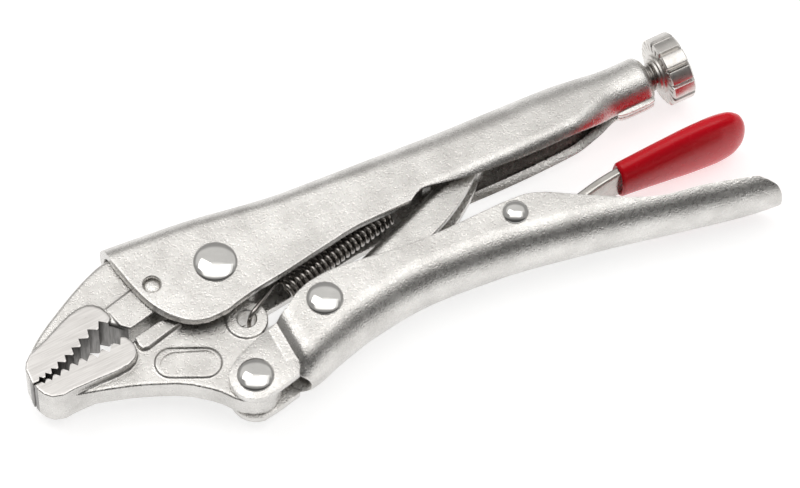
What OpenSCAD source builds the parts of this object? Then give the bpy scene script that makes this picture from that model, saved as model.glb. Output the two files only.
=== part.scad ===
// Locking pliers, small curved-jaw pattern with a wire cutter, lying on one side.
// +X runs to the rear along the adjusting screw, +Y to the back of the upper handle, +Z up.
// The origin is on the jaw pivot axis, in the plane that the pliers rest on.

/* [Jaws] */
// Thickness of the jaw heads
jaw_t = 8.8; // [8.4:0.1:9]
// Thickness of the lower jaw's neck
neck_t = 5.4; // [5:0.1:5.4]
// Depth of a tooth as a share of its pitch
tooth_depth = 0.6; // [0.4:0.05:0.65]
// Number of notches in the lower jaw
tooth_count = 9; // [5:1:9]
// Length of the lower jaw from pivot to tip
jaw_reach = 36.6; // [36:0.1:37]

/* [Handles] */
// Outside width of both handles
handle_w = 12.4; // [12.3:0.05:12.6]
// Sheet thickness of the handles
sheet_t = 1.6; // [1.4:0.05:1.6]
// Sheet thickness of the toggle link
link_sheet_t = 1.4; // [1.2:0.1:1.5]

/* [Rivets] */
// Head radius of the jaw pivot rivet
jaw_head_r = 3.7; // [3.4:0.1:3.9]
// Head radius of the handle and link rivets
handle_head_r = 3.1; // [2.8:0.1:3.2]
// Head radius of the lever rivet
lever_head_r = 2.2; // [2:0.1:2.4]
// Height of a rivet head
head_h = 1; // [0.8:0.05:1.1]
// Radial running clearance of a pin in its hole
pin_clear = 0.05; // [0.03:0.01:0.08]

/* [Adjusting screw] */
// Thread outside diameter
screw_d = 5; // [5:0.1:5.1]
// Thread pitch
pitch = 0.8; // [0.75:0.05:1]
// Knob diameter
knob_d = 12.1; // [11.5:0.1:12.4]
// Knob length
knob_len = 4.4; // [4:0.1:5]
// Number of knob flutes
flute_count = 12; // [8:1:14]

/* [Spring] */
// Outside diameter of the coil
coil_d = 4; // [3.6:0.1:4]
// Wire diameter
wire_d = 0.75; // [0.6:0.05:0.75]
// Number of coil turns
coil_turns = 21; // [18:1:22]

/* [Release lever] */
// Thickness of the lever strip
lever_t = 1.6; // [1.4:0.1:1.8]
// Width of the dipped grip
grip_w = 14; // [12:0.5:14]

/* [Hidden] */
$fn = 64;

half_w = handle_w / 2;
inner_w = half_w - sheet_t;
mid_z = half_w + head_h;
jaw_half = jaw_t / 2;
neck_half = neck_t / 2;
ear_in = neck_half + 0.1;
ear_out = ear_in + sheet_t;

handle_pivot = [-3.2, -21.1];
link_pivot = [13.1, -14.5];
lever_pivot = [49, -14.7];
link_len = 39.8;
link_angle = 21.1;
jaw_pin = [-11.3, 1.1];
spring_lug = [0.6, -10.3];
lug_r = 3.6;
anchor = [39.5, 0.6];

shank_r = [2.6, 2.1, 2.1, 1.5, 1.3];
screw_y = 0.74;
tube_r = 4.4;
tube_start = 74;
tube_end = 82.6;
seam_drop = 0.74;
knob_x = 85.1;
screw_tip = 53.2;
hub_r = 7;
seat_gap = 0.3;
tongue_half = 1.6;
fork_half = tongue_half + 0.15;

// Value of a table column at x, between hand-set stations
function at(table, x, col) = lookup(x, [for (row = table) [row[0], row[col]]]);

// Half-open channel section, inset by d: a lip, a wall, a rounded spine, a wall and a lip.
// s is [half width, spine y, spine height, lip y, lip radius, lip angle], as [y, z] pairs.
lip_steps = 3;
spine_steps = 12;
function section(s, d) = concat(
    [for (i = [0:lip_steps]) let (b = s[5] * (1 - i / lip_steps))
        [s[3] + s[4] - (s[4] - d) * sin(b), s[0] - s[4] + (s[4] - d) * cos(b)]],
    [for (i = [0:spine_steps]) let (a = 180 * i / spine_steps)
        [s[1] - s[2] + (s[2] - d) * sin(a), (s[0] - d) * cos(a)]],
    [for (i = [lip_steps:-1:0]) let (b = s[5] * (1 - i / lip_steps))
        [s[3] + s[4] - (s[4] - d) * sin(b), -(s[0] - s[4] + (s[4] - d) * cos(b))]]);

// Sheet-metal channel along X through the stations of a table
module channel(table, t) {
    n = 2 * (lip_steps + 1) + spine_steps + 1;
    last = len(table) - 1;
    rings = [for (row = table)
        let (s = [for (c = [1:6]) row[c]])
        for (p = concat(section(s, 0), section(s, t))) [row[0], p[0], p[1]]];
    outer = [for (i = [0:last - 1], k = [0:n - 2])
        let (a = i * 2 * n + k) [a, a + 1, a + 1 + 2 * n, a + 2 * n]];
    inner = [for (i = [0:last - 1], k = [n:2 * n - 2])
        let (a = i * 2 * n + k) [a, a + 2 * n, a + 1 + 2 * n, a + 1]];
    near_lip = [for (i = [0:last - 1])
        let (a = i * 2 * n) [a, a + 2 * n, a + 3 * n, a + n]];
    far_lip = [for (i = [0:last - 1])
        let (a = i * 2 * n + n - 1) [a, a + n, a + 3 * n, a + 2 * n]];
    front = [for (k = [0:n - 2]) [k, k + n, k + n + 1, k + 1]];
    rear = [for (k = [0:n - 2]) let (a = last * 2 * n + k) [a, a + 1, a + n + 1, a + n]];
    polyhedron(rings, concat(outer, inner, near_lip, far_lip, front, rear), convexity = 6);
}

module at_mid() { translate([0, 0, mid_z]) children(); }

module plate(z0, z1) { translate([0, 0, z0]) linear_extrude(z1 - z0) children(); }

// The same plate on both sides of the middle plane
module both_sides(z0, z1) {
    plate(z0, z1) children();
    mirror([0, 0, 1]) plate(z0, z1) children();
}

module pin_hole(at_xy, r) {
    translate([at_xy[0], at_xy[1], -20]) cylinder(r = r, h = 40);
}

// Solid rivet: a shank through both walls and two domed heads with flattened crowns
module rivet(at_xy, shank, head, grip_half) {
    flat = head * 0.42;
    translate([at_xy[0], at_xy[1], mid_z]) union() {
        cylinder(r = shank, h = 2 * grip_half, center = true);
        for (side = [0, 1]) mirror([0, 0, side]) translate([0, 0, grip_half])
            rotate_extrude() polygon(concat([[0, 0], [head, 0]],
                [for (a = [0:15:75]) [flat + (head - flat) * cos(a), 0.15 + (head_h - 0.15) * sin(a)]],
                [[flat, head_h], [0, head_h]]));
    }
}

// Upper handle: deep at the jaw, rolled to a tube at the screw
upper_stations = [
    [-18, half_w, 12.9, 4, -13, 3, 3],
    [-8, half_w, 12, 4, -13, 3, 3],
    [1, half_w, 11, 4, -13, 3, 3],
    [8, half_w, 9.8, 4, -13, 3, 3],
    [15, half_w, 8.8, 4.2, -12, 3, 3],
    [24, half_w, 8.2, 4.4, -11, 3, 3],
    [33, half_w, 7.7, 4.8, -8, 3, 8],
    [38, half_w - 0.1, 7.4, 5, -5.3, 3, 20],
    [46, half_w - 0.3, 7, 5.2, -5.4, 2.8, 45],
    [56, half_w - 0.5, 6.7, 5.4, -5.4, 2.6, 62],
    [66, half_w - 0.8, 6.3, 5.3, -5.2, 2.6, 68],
    [71, half_w - 1.3, 5.8, 4.9, -4.6, 3.6, 76],
    [75, tube_r + 0.1, 5.3, 4.5, -3.7, 4.3, 84],
    [78, tube_r, screw_y + tube_r, tube_r, screw_y - tube_r, tube_r - 0.05, 86]];

module upper_outline() {
    polygon([[-15.6, 14], [-15.4, 9.4], [-14.9, 6], [-14.2, 2.2], [-13.2, -1.4], [-11.8, -4.2],
             [-9.9, -6.6], [-7.8, -8.2], [-5.6, -8.9], [-2.8, -8.9], [0, -8.3], [3, -7.7],
             [10, -6.8], [17, -5.7], [26, -4.6], [36, -4.6], [39, -9], [84, -9], [84, 14]]);
}

module tube_end_shell() {
    translate([tube_start, screw_y, 0]) rotate([0, 90, 0]) rotate_extrude() polygon(concat(
        [[0, 0], [tube_r - 0.1, 0]],
        [for (a = [0:15:90]) [tube_r - 1.6 + 1.6 * cos(a), tube_end - tube_start - 1.6 + 1.6 * sin(a)]],
        [[0, tube_end - tube_start]]));
}

module upper_handle() {
    color("silver") at_mid() difference() {
        union() {
            intersection() {
                channel(upper_stations, sheet_t);
                plate(-10, 10) upper_outline();
            }
            tube_end_shell();
            // folded seam under the tube
            translate([tube_start + 0.6, screw_y - tube_r - seam_drop, -1.05]) cube([7.5, 1.8, 2.1]);
            // tab that holds the spring's rear hook
            difference() {
                translate([anchor[0] - 0.8, anchor[1] - 1.5, -1.9]) cube([1.6, 7, 3.8]);
                translate([anchor[0] - 2, anchor[1], 0]) rotate([0, 90, 0]) cylinder(r = 0.7, h = 4);
            }
        }
        translate([tube_start - 6, screw_y, 0]) rotate([0, 90, 0])
            cylinder(r = screw_d / 2 + pin_clear, h = 20);
        pin_hole([0, 0], shank_r[0] + pin_clear);
        pin_hole(jaw_pin, shank_r[4]);
    }
}

// Fixed jaw: head, body inside the handle and a central tongue on the pivot rivet
fixed_back = [[-2, 5.8], [-8, 7.1], [-14.6, 7.9], [-15.4, 9.7], [-18.4, 9.4], [-23, 7.6], [-27.8, 5],
              [-31.4, 2.8], [-33.9, 0.9], [-35.7, -0.9], [-36.6, -2.6], [-36.8, -5.65]];
fixed_arch = [[-35.6, -5.65], [-34.4, -5.55], [-33.1, -5.4], [-31.7, -5], [-30, -4.5], [-28.3, -3.85],
              [-26.6, -3.05], [-24.7, -2.2], [-22.6, -1.5], [-20.5, -1.2], [-19.2, -2.5], [-17.7, -3.7]];
fixed_rear = [[-12.2, -2.6], [-9.5, -2.2], [-4, -1]];

// V notches that leave a row of teeth along an arch, one between each two of its points
tooth_flat = 0.12;
module notches(arch, count, side) {
    for (i = [0:count - 1]) {
        along = (arch[i + 1] - arch[i]) / norm(arch[i + 1] - arch[i]);
        across = [-along[1], along[0]] * side;
        root = (arch[i] + arch[i + 1]) / 2 + across * tooth_depth * norm(arch[i + 1] - arch[i]);
        first = arch[i] + along * tooth_flat;
        second = arch[i + 1] - along * tooth_flat;
        plate(-6, 6) polygon([root, root + (first - root) * 1.3, root + (second - root) * 1.3]);
    }
}

module fixed_jaw() {
    head = concat([[-19.8, 0.6], [-20.6, 2.6], [-22.4, 3.5], [-24.6, 3.4], [-28.4, 2], [-31.9, 0.4],
                   [-34.8, -0.6], [-35.7, -0.9], [-36.6, -2.6], [-36.8, -5.65]], [for (i = [0:9]) fixed_arch[i]]);
    color("gainsboro") at_mid() difference() {
        union() {
            difference() {
                union() {
                    plate(-jaw_half + 0.5, jaw_half - 0.5) polygon(concat(fixed_back, fixed_arch, fixed_rear));
                    plate(-jaw_half, jaw_half) polygon(head);
                    plate(-jaw_half, jaw_half) polygon([[-14, 7.6], [-13.6, 2], [-12, -1], [-8, 1], [-3, 5.6]]);
                }
                translate([0, 0, -6]) cylinder(r = hub_r + seat_gap, h = 12);
            }
            cylinder(r = hub_r - 0.8, h = 2 * tongue_half, center = true);
            plate(-tongue_half, tongue_half) polygon([[-9, 5], [-9, 0], [0, -2], [0, 5.8], [-3, 6]]);
        }
        notches(fixed_arch, 9, 1);
        pin_hole([0, 0], shank_r[0] + pin_clear);
        pin_hole(jaw_pin, shank_r[4]);
    }
}

module fixed_jaw_pin() {
    color("gainsboro") translate([jaw_pin[0], jaw_pin[1], mid_z])
        cylinder(r = shank_r[4], h = handle_w - 0.6, center = true);
}

// Lower jaw: toothed head, thin neck, a forked hub on the pivot, a spring lug and an eye
lower_arch = [[-35.4, -5.82], [-34.2, -5.72], [-32.8, -5.56], [-31.2, -5.3], [-29.4, -5], [-27.6, -4.85],
              [-25.7, -4.95], [-23.7, -5.05], [-21.7, -4.85], [-19.8, -4.35]];
module lower_jaw() {
    head = concat([[-jaw_reach, -5.85]], lower_arch,
                  [[-19.1, -4.8], [-18.6, -5.8], [-18.4, -6.9], [-18.7, -8.2], [-19.5, -9.1], [-20.8, -9.7],
                   [-23, -9.9], [-27, -9.8], [-31, -9.7], [-33, -9.9], [-34.9, -9.3], [-35.9, -8.2], [-36.4, -7]]);
    neck = concat([[-35.6, -7.6], [-33.6, -9.2], [-27.7, -10.8], [-20.7, -13.1], [-13.9, -16.3],
                   [-9.6, -20], [-7.4, -23.2], [-4.8, -25], [-2, -25.2], [0.6, -23.6], [1.6, -20],
                   [2.6, -14.6], [1, -9], [5, -4], [-5, -4], [-8.2, -3.9], [-12.2, -4],
                   [-17.9, -5], [-19.4, -6]]);
    color("gainsboro") at_mid() difference() {
        union() {
            plate(-neck_half, neck_half) polygon(neck);
            plate(-jaw_half, jaw_half) polygon(head);
            plate(1 - jaw_half, jaw_half - 1)
                polygon([[-17.7, -5.1], [-12.1, -4.1], [-9.6, -6.2], [-16.4, -7.8], [-17.4, -7.6], [-17.8, -6.8]]);
            cylinder(r = hub_r, h = jaw_t, center = true);
            translate([spring_lug[0], spring_lug[1], 0]) cylinder(r = lug_r, h = neck_t, center = true);
            translate([handle_pivot[0], handle_pivot[1], 0]) cylinder(r = 4, h = neck_t, center = true);
        }
        notches(lower_arch, tooth_count, -1);
        plate(-fork_half, fork_half) polygon([[0, 0], [9, 2], [9, 9], [-12, 9], [-12, -2.4]]);
        cylinder(r = hub_r - 0.6, h = 2 * fork_half, center = true);
        pin_hole([0, 0], shank_r[0] + pin_clear);
        pin_hole(handle_pivot, shank_r[1] + pin_clear);
        pin_hole(spring_lug, 1.6);
    }
}

// Lower handle: trough with its spine outwards, joggled in to two ears at the lower jaw
lower_stations = [
    [2.4, ear_out, 25.3, 4.6, 4, 1.9, 3],
    [4.2, ear_out + 0.05, 25.3, 4.7, 4, 1.9, 3],
    [5.4, half_w - 0.45, 25.2, 4.9, 4, 1.9, 3],
    [7.4, half_w - 0.05, 24.8, 5.1, 4, 1.9, 3],
    [11, half_w, 23.6, 5.4, 4, 1.9, 3],
    [20, half_w, 21.4, 5.6, 4, 1.9, 3],
    [30, half_w, 20.4, 5.6, 4, 1.9, 3],
    [42, half_w, 21.2, 5.6, 4, 1.9, 3],
    [60, half_w, 24.3, 5.6, 4, 1.9, 3],
    [75, half_w, 27.6, 5.6, 4, 1.9, 3],
    [87, half_w - 0.2, 30.1, 5.4, 4, 1.9, 3],
    [94, half_w - 0.9, 31, 5, 4, 1.9, 3]];

module lower_outline() {
    polygon([[5.3, -27], [5.3, -25.4], [4.4, -24.7], [2.9, -23.4], [2.4, -21], [2.4, -14.7], [6.8, -12.9],
             [9.8, -11.2], [12.4, -10.4], [16, -10.1], [22, -10.7], [30, -11.8], [37, -12.1], [47, -12], [51.4, -12.2], [55, -13.4], [58.6, -15.6],
             [63.2, -18.4], [68, -21.2], [73.2, -23.2], [79, -24.3], [84, -25.6], [88.6, -26.9],
             [90.6, -28.4], [91.6, -29.5], [91.9, -30.5], [91.6, -31.4], [91.2, -32], [20, -32]]);
}

module ear_outline() {
    union() {
        translate(handle_pivot) circle(r = 4.5);
        polygon([[-6.9, -18.5], [-5.4, -16.9], [-0.6, -15.3], [3, -14.1], [5, -13.2], [5, -23],
                 [4.2, -23], [3.4, -24.2], [-0.6, -25.1], [-5, -24]]);
    }
}

module lower_handle() {
    color("silver") at_mid() difference() {
        union() {
            intersection() {
                mirror([0, 1, 0]) channel(lower_stations, sheet_t);
                plate(-10, 10) lower_outline();
            }
            intersection() {
                both_sides(ear_in, ear_out) ear_outline();
                translate([-12, -30, -10]) cube([15.6, 20, 20]);
            }
        }
        pin_hole(handle_pivot, shank_r[1] + pin_clear);
        pin_hole(link_pivot, shank_r[2] + pin_clear);
        pin_hole(lever_pivot, shank_r[3] + pin_clear);
    }
}

// Toggle link, drawn from its pivot along its own line to its tip
link_half = inner_w - 0.15;
link_stations = [
    [-4, link_half, 3.2, 2.6, -8, 1.6, 3],
    [3, link_half, 3, 2.6, -8, 1.6, 3],
    [9, link_half, 2.1, 2.6, -8, 1.6, 3],
    [22, link_half - 0.2, 1.9, 2.6, -8, 1.6, 3],
    [32, 3.7, 1.8, 2.4, -8, 1.6, 3],
    [39, 3.1, 1.4, 2, -8, 1.6, 3]];

module link_frame() {
    translate([link_pivot[0], link_pivot[1], mid_z]) rotate([0, 0, link_angle]) children();
}

module toggle_link() {
    color("silver") link_frame() difference() {
        union() {
            intersection() {
                channel(link_stations, link_sheet_t);
                plate(-8, 8) polygon([[-3.6, -1.6], [-3.6, 1.8], [-2.4, 3.6], [39, 3.6], [38.9, -0.9],
                                      [35.2, -2.6], [24.2, -4.7], [20, -4.8], [6, -4.4], [0, -3.9], [-2.4, -3.2]]);
            }
            translate([link_len - 1.8, -0.1, 0]) cylinder(r = 1.7, h = 5.8, center = true);
            both_sides(2.4, 3.1) polygon([[33, 0.4], [38.4, 0.4], [38.4, -1.6], [35.2, -2.5]]);
        }
        translate([0, 0, -20]) cylinder(r = shank_r[2] + pin_clear, h = 40);
    }
}

// Release lever: a strip with a nose ahead of its pivot, two pivot lugs and a tail in the grip
module lever_path(thick) {
    polygon([[56.5, -18], [61, -16.4], [66, -14.9 - thick / 2], [71, -14.4 - thick / 2], [79, -14.2 - thick / 2],
             [79, -14.2 + thick / 2], [71, -14.4 + thick / 2], [65.6, -14.8 + thick / 2],
             [60.2, -15.2 + thick / 2], [55.5, -16 + thick / 2]]);
}

module release_lever() {
    color("darkgray") at_mid() difference() {
        union() {
            plate(-3.7, 3.7) lever_path(lever_t);
            both_sides(inner_w - 1.8, inner_w - 0.3) union() {
                translate(lever_pivot) circle(r = 2.6);
                polygon([[49, -12.1], [56, -14.4], [57.4, -16.8], [52, -18], [49, -17.3]]);
            }
            plate(0.3 - inner_w, inner_w - 0.3) polygon([[51.6, -17.9], [51.6, -16.9], [56.8, -16.3], [57.4, -17.7]]);
            both_sides(inner_w - 1.8, inner_w - 0.3)
                polygon([[49, -12.1], [42, -12.7], [35.6, -13], [35.2, -13.6], [35.6, -14.6], [42, -15.6], [49, -17.3]]);
            plate(0.3 - inner_w, inner_w - 0.3) polygon([[35.6, -13], [35.2, -13.6], [35.6, -14.6], [37.6, -14.9], [37.8, -13]]);
        }
        pin_hole(lever_pivot, shank_r[3] + pin_clear);
    }
}

// Dipped grip: a flat, rounded paddle that widens to its end
grip_rings = [[69, 3.9, 1.7], [70.5, 4.5, 2], [75, 5.4, 2.3], [82, 6.6, 2.5], [87, 7, 2.5],
              [90, 6.5, 2.3], [92, 4.9, 1.8], [93, 2.6, 1]];
grip_sides = 20;
module lever_grip() {
    last = len(grip_rings) - 1;
    points = [for (r = grip_rings, k = [0:grip_sides - 1]) let (a = 360 * k / grip_sides)
        [r[0], -14.4 + r[2] * cos(a) - 0.012 * pow(r[0] - 69, 1.35), r[1] * grip_w / 14 * sin(a)]];
    sides = [for (i = [0:last - 1], k = [0:grip_sides - 1])
        let (a = i * grip_sides, b = (k + 1) % grip_sides)
        [a + k, a + grip_sides + k, a + grip_sides + b, a + b]];
    caps = [[for (k = [0:grip_sides - 1]) k], [for (k = [grip_sides - 1:-1:0]) last * grip_sides + k]];
    color("red") at_mid() difference() {
        polyhedron(points, concat(sides, caps), convexity = 4);
        plate(-3.7, 3.7) lever_path(lever_t);
    }
}

// Screw rod with ring grooves at the thread pitch, and the knob with its collar
module adjusting_screw() {
    root_r = screw_d / 2 - 0.45;
    turns = floor((knob_x - 2 - screw_tip - 2) / pitch);
    color("gainsboro") translate([screw_tip, screw_y, mid_z]) rotate([0, 90, 0]) rotate_extrude() polygon(concat(
        [[0, 0], [root_r - 0.4, 0], [root_r, 0.8]],
        [for (i = [0:turns - 1], p = [[root_r, 1], [screw_d / 2, 1 + pitch * 0.4],
                                      [screw_d / 2, 1 + pitch * 0.6]])
            [p[0], p[1] + i * pitch]],
        [[root_r, 1 + turns * pitch], [root_r, knob_x - screw_tip - 0.1], [0, knob_x - screw_tip - 0.1]]));
}

module adjusting_knob() {
    color("silver") translate([knob_x, screw_y, mid_z]) rotate([0, 90, 0]) difference() {
        rotate_extrude() polygon([[0, 0], [knob_d / 2 - 0.3, 0], [knob_d / 2, 0.3], [knob_d / 2, knob_len - 0.4],
                                  [knob_d / 2 - 0.4, knob_len], [0, knob_len]]);
        for (i = [0:flute_count - 1]) rotate([0, 0, 360 * i / flute_count])
            translate([knob_d / 2 + 0.25, 0, -1]) cylinder(r = 0.75, h = knob_len + 2);
    }
}

// Return spring: one swept wire, from the lug's hole through the coil to the anchor tab
coil_from = [9.3, -7.1];
coil_to = [31.5, -2.2];
wire_sides = 6;
coil_steps = 12;
coil_axis = (coil_to - coil_from) / norm(coil_to - coil_from);
coil_len = norm(coil_to - coil_from);
coil_r = (coil_d - wire_d) / 2;
function coil_point(a) = let (s = coil_len * a / (360 * coil_turns))
    [coil_from[0] + coil_axis[0] * s - coil_axis[1] * coil_r * cos(a),
     coil_from[1] + coil_axis[1] * s + coil_axis[0] * coil_r * cos(a),
     coil_r * sin(a)];
front_hook = [for (p = [[0.5, -0.3, -3.4], [0.3, -0.3, -1], [0.3, -0.2, 1.4], [0.7, 0, 2.9], [1.5, 0.4, 3.4],
                        [2.6, 1, 3.35], [4.6, 2.3, 2.75], [6.4, 3.6, 1.95], [7.6, 4.3, 1.35], [8.2, 4.7, 0.85]])
              [spring_lug[0] + p[0], spring_lug[1] + p[1], p[2]]];
rear_hook = [for (p = [[-6.8, -1.4, 0.5], [-5, -1.5, 0.9], [-3.8, -1.2, 0.7], [-2.6, -0.7, 0.3],
                       [-1.4, -0.2, 0.1], [0, 0, 0], [1.4, 0, 0]])
             [anchor[0] + p[0], anchor[1] + p[1], p[2]]];
spring_line = concat(front_hook, [for (i = [1:coil_steps * coil_turns - 1]) coil_point(360 * i / coil_steps)],
                     rear_hook);

module return_spring() {
    last = len(spring_line) - 1;
    points = [for (i = [0:last])
        let (a = spring_line[max(i - 1, 0)], b = spring_line[min(i + 1, last)],
             t = (b - a) / norm(b - a),
             h = abs(t[0]) < 0.7 ? [1, 0, 0] : [0, 0, 1],
             u = cross(t, h) / norm(cross(t, h)),
             v = cross(t, u))
        for (k = [0:wire_sides - 1])
            spring_line[i] + wire_d / 2 * (u * cos(360 * k / wire_sides) + v * sin(360 * k / wire_sides))];
    sides = [for (i = [0:last - 1], k = [0:wire_sides - 1], half = [0, 1])
        let (a = i * wire_sides, b = (k + 1) % wire_sides)
        half == 0 ? [a + k, a + b, a + wire_sides + b] : [a + k, a + wire_sides + b, a + wire_sides + k]];
    caps = [[for (k = [wire_sides - 1:-1:0]) k], [for (k = [0:wire_sides - 1]) last * wire_sides + k]];
    color("dimgray") at_mid() polyhedron(points, concat(sides, caps), convexity = 10);
}

module jaw_rivet() { color("lightgray") rivet([0, 0], shank_r[0], jaw_head_r, half_w); }
module handle_rivet() { color("lightgray") rivet(handle_pivot, shank_r[1], handle_head_r, ear_out); }
module link_rivet() { color("lightgray") rivet(link_pivot, shank_r[2], handle_head_r, half_w); }
module lever_rivet() { color("lightgray") rivet(lever_pivot, shank_r[3], lever_head_r, half_w); }

upper_handle();
fixed_jaw();
fixed_jaw_pin();
jaw_rivet();
lower_jaw();
lower_handle();
handle_rivet();
toggle_link();
link_rivet();
release_lever();
lever_rivet();
lever_grip();
adjusting_screw();
adjusting_knob();
return_spring();
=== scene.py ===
"""Looks for the locking pliers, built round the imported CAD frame.

Shapes are worked out in millimetres, in the frame's own axes with z measured from the pliers'
middle plane, and turned into metres when a mesh is made.
"""

import math

import bmesh
import bpy
import numpy as np
from mathutils import Matrix, Vector


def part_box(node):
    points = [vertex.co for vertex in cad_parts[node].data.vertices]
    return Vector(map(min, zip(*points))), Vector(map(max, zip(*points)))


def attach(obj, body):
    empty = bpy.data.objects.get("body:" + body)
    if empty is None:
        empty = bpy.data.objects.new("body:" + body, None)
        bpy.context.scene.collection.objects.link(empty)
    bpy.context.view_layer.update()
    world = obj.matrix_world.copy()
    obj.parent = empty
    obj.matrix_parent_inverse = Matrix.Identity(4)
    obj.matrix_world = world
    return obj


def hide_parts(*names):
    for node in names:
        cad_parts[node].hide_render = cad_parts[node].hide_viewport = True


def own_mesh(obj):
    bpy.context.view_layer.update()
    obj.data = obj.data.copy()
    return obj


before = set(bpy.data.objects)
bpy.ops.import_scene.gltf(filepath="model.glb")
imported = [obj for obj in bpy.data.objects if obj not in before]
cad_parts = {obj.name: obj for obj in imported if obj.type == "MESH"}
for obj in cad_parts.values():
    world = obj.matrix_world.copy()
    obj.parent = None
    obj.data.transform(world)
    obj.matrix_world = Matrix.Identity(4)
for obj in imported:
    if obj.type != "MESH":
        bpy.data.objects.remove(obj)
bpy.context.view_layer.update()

MM = 0.001


def centre(node):
    """Centre of a CAD node's box, in mm."""
    low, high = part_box(node)
    return (low + high) / 2 / MM


def half_size(node):
    low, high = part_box(node)
    return (high - low) / 2 / MM


# ---------------------------------------------------------------- places and sizes, in mm

JAW_PIVOT = centre("jaw_rivet")
HANDLE_PIVOT = centre("handle_rivet")
LINK_PIVOT = centre("link_rivet")
LEVER_PIVOT = centre("lever_rivet")
PIN = centre("fixed_jaw_pin")
MID_Z = JAW_PIVOT.z
HALF_W = half_size("upper_handle").z
SHEET = 1.6
LINK_SHEET = 1.4
INNER_W = HALF_W - SHEET
JAW_HALF = half_size("lower_jaw").z
NECK_HALF = 2.7
EAR_IN = NECK_HALF + 0.1
EAR_OUT = EAR_IN + SHEET
SCREW_Y = centre("adjusting_screw").y
SCREW_R = half_size("adjusting_screw").z
PITCH = 0.8
TUBE_R = 4.4
TUBE_END = 82.6
KNOB_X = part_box("adjusting_knob")[0].x / MM
KNOB_LEN = 2 * half_size("adjusting_knob").x
KNOB_R = 6.05
SPRING_LUG = (0.6, -10.3)
STADIUM = (-11.7, -13.1)
ANCHOR = (39.5, 0.6)
LINK_ANGLE = math.radians(21.1)

# camera, from the photograph's viewing angle
VIEW_TARGET = (30.55, -8.28)
VIEW_DISTANCE = 927.5
VIEW_TILT = math.radians(28)
VIEW_TURN = math.radians(28.72)
VIEW_ROLL = math.radians(1.2)
VIEW_LENS = 247.5


# ---------------------------------------------------------------- curves

def smooth(table, x):
    """Monotone cubic through (x, value) rows sorted by x, at x."""
    table = np.asarray(table, float)
    px, py = table[:, 0], table[:, 1]
    h = np.diff(px)
    d = np.diff(py) / h
    m = np.zeros(len(px))
    m[0], m[-1] = d[0], d[-1]
    for i in range(1, len(px) - 1):
        if d[i - 1] * d[i] > 0:
            a, b = 2 * h[i] + h[i - 1], h[i] + 2 * h[i - 1]
            m[i] = (a + b) / (a / d[i - 1] + b / d[i])
    x = np.clip(np.asarray(x, float), px[0], px[-1])
    i = np.clip(np.searchsorted(px, x) - 1, 0, len(h) - 1)
    t = (x - px[i]) / h[i]
    return ((2 * t ** 3 - 3 * t ** 2 + 1) * py[i] + (t ** 3 - 2 * t ** 2 + t) * h[i] * m[i]
            + (3 * t ** 2 - 2 * t ** 3) * py[i + 1] + (t ** 3 - t ** 2) * h[i] * m[i + 1])


def column(table, x, col):
    return float(smooth([(row[0], row[col]) for row in table], x))


def rounded(points, times=2, keep=0.25):
    """Closed outline with its corners cut, times over."""
    p = [np.array(q, float) for q in points]
    for _ in range(times):
        q = []
        for i, a in enumerate(p):
            b = p[(i + 1) % len(p)]
            q += [a + (b - a) * keep, b + (a - b) * keep]
        p = q
    return [tuple(q) for q in p]


# ---------------------------------------------------------------- mesh helpers

def new_object(name, mesh):
    obj = bpy.data.objects.new(name, mesh)
    bpy.context.scene.collection.objects.link(obj)
    return obj


def to_object(name, bm, lift=True):
    """Object from a bmesh in mm. lift: z is measured from the middle plane."""
    if lift:
        bmesh.ops.translate(bm, verts=bm.verts, vec=(0, 0, MID_Z))
    bmesh.ops.scale(bm, verts=bm.verts, vec=(MM, MM, MM))
    bmesh.ops.recalc_face_normals(bm, faces=bm.faces)
    mesh = bpy.data.meshes.new(name)
    bm.to_mesh(mesh)
    bm.free()
    return new_object(name, mesh)


def bake_modifiers(obj):
    """Replaces the object's mesh by the result of its modifiers."""
    bpy.context.view_layer.update()
    graph = bpy.context.evaluated_depsgraph_get()
    mesh = bpy.data.meshes.new_from_object(obj.evaluated_get(graph))
    obj.modifiers.clear()
    obj.data = mesh
    return obj


def discard(*objs):
    for obj in objs:
        bpy.data.objects.remove(obj)


def shade(obj, angle=32):
    """Smooth shading, with edges sharper than angle kept sharp."""
    bm = bmesh.new()
    bm.from_mesh(obj.data)
    limit = math.radians(angle)
    for face in bm.faces:
        face.smooth = True
    for edge in bm.edges:
        edge.smooth = not (edge.is_manifold and edge.calc_face_angle(0) > limit)
    bm.to_mesh(obj.data)
    bm.free()
    return obj


def bevel_sharp(bm, width, segments=2, angle=40):
    """Bevels every edge of a bmesh that turns by more than angle."""
    limit = math.radians(angle)
    edges = [e for e in bm.edges if e.is_manifold and e.calc_face_angle(0) > limit]
    bmesh.ops.bevel(bm, geom=edges, offset=width, segments=segments, profile=0.5,
                    affect="EDGES", clamp_overlap=True)


def add_plate(bm, outline, z0, z1, bevel=0.0, segments=3):
    """Adds an extruded outline, its top and bottom edges bevelled, to bm."""
    part = bmesh.new()
    low = [part.verts.new((x, y, z0)) for x, y in outline]
    high = [part.verts.new((x, y, z1)) for x, y in outline]
    n = len(outline)
    part.faces.new(low[::-1])
    part.faces.new(high)
    for i in range(n):
        part.faces.new((low[i], low[(i + 1) % n], high[(i + 1) % n], high[i]))
    bmesh.ops.recalc_face_normals(part, faces=part.faces)
    if bevel:
        rims = [e for e in part.edges if abs(e.verts[0].co.z - e.verts[1].co.z) < 1e-6]
        bmesh.ops.bevel(part, geom=rims, offset=bevel, segments=segments, profile=0.5,
                        affect="EDGES", clamp_overlap=True)
    mesh = bpy.data.meshes.new("part")
    part.to_mesh(mesh)
    part.free()
    bm.from_mesh(mesh)
    bpy.data.meshes.remove(mesh)


def circle(x, y, r, n=64):
    return [(x + r * math.cos(2 * math.pi * i / n), y + r * math.sin(2 * math.pi * i / n))
            for i in range(n)]


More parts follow.
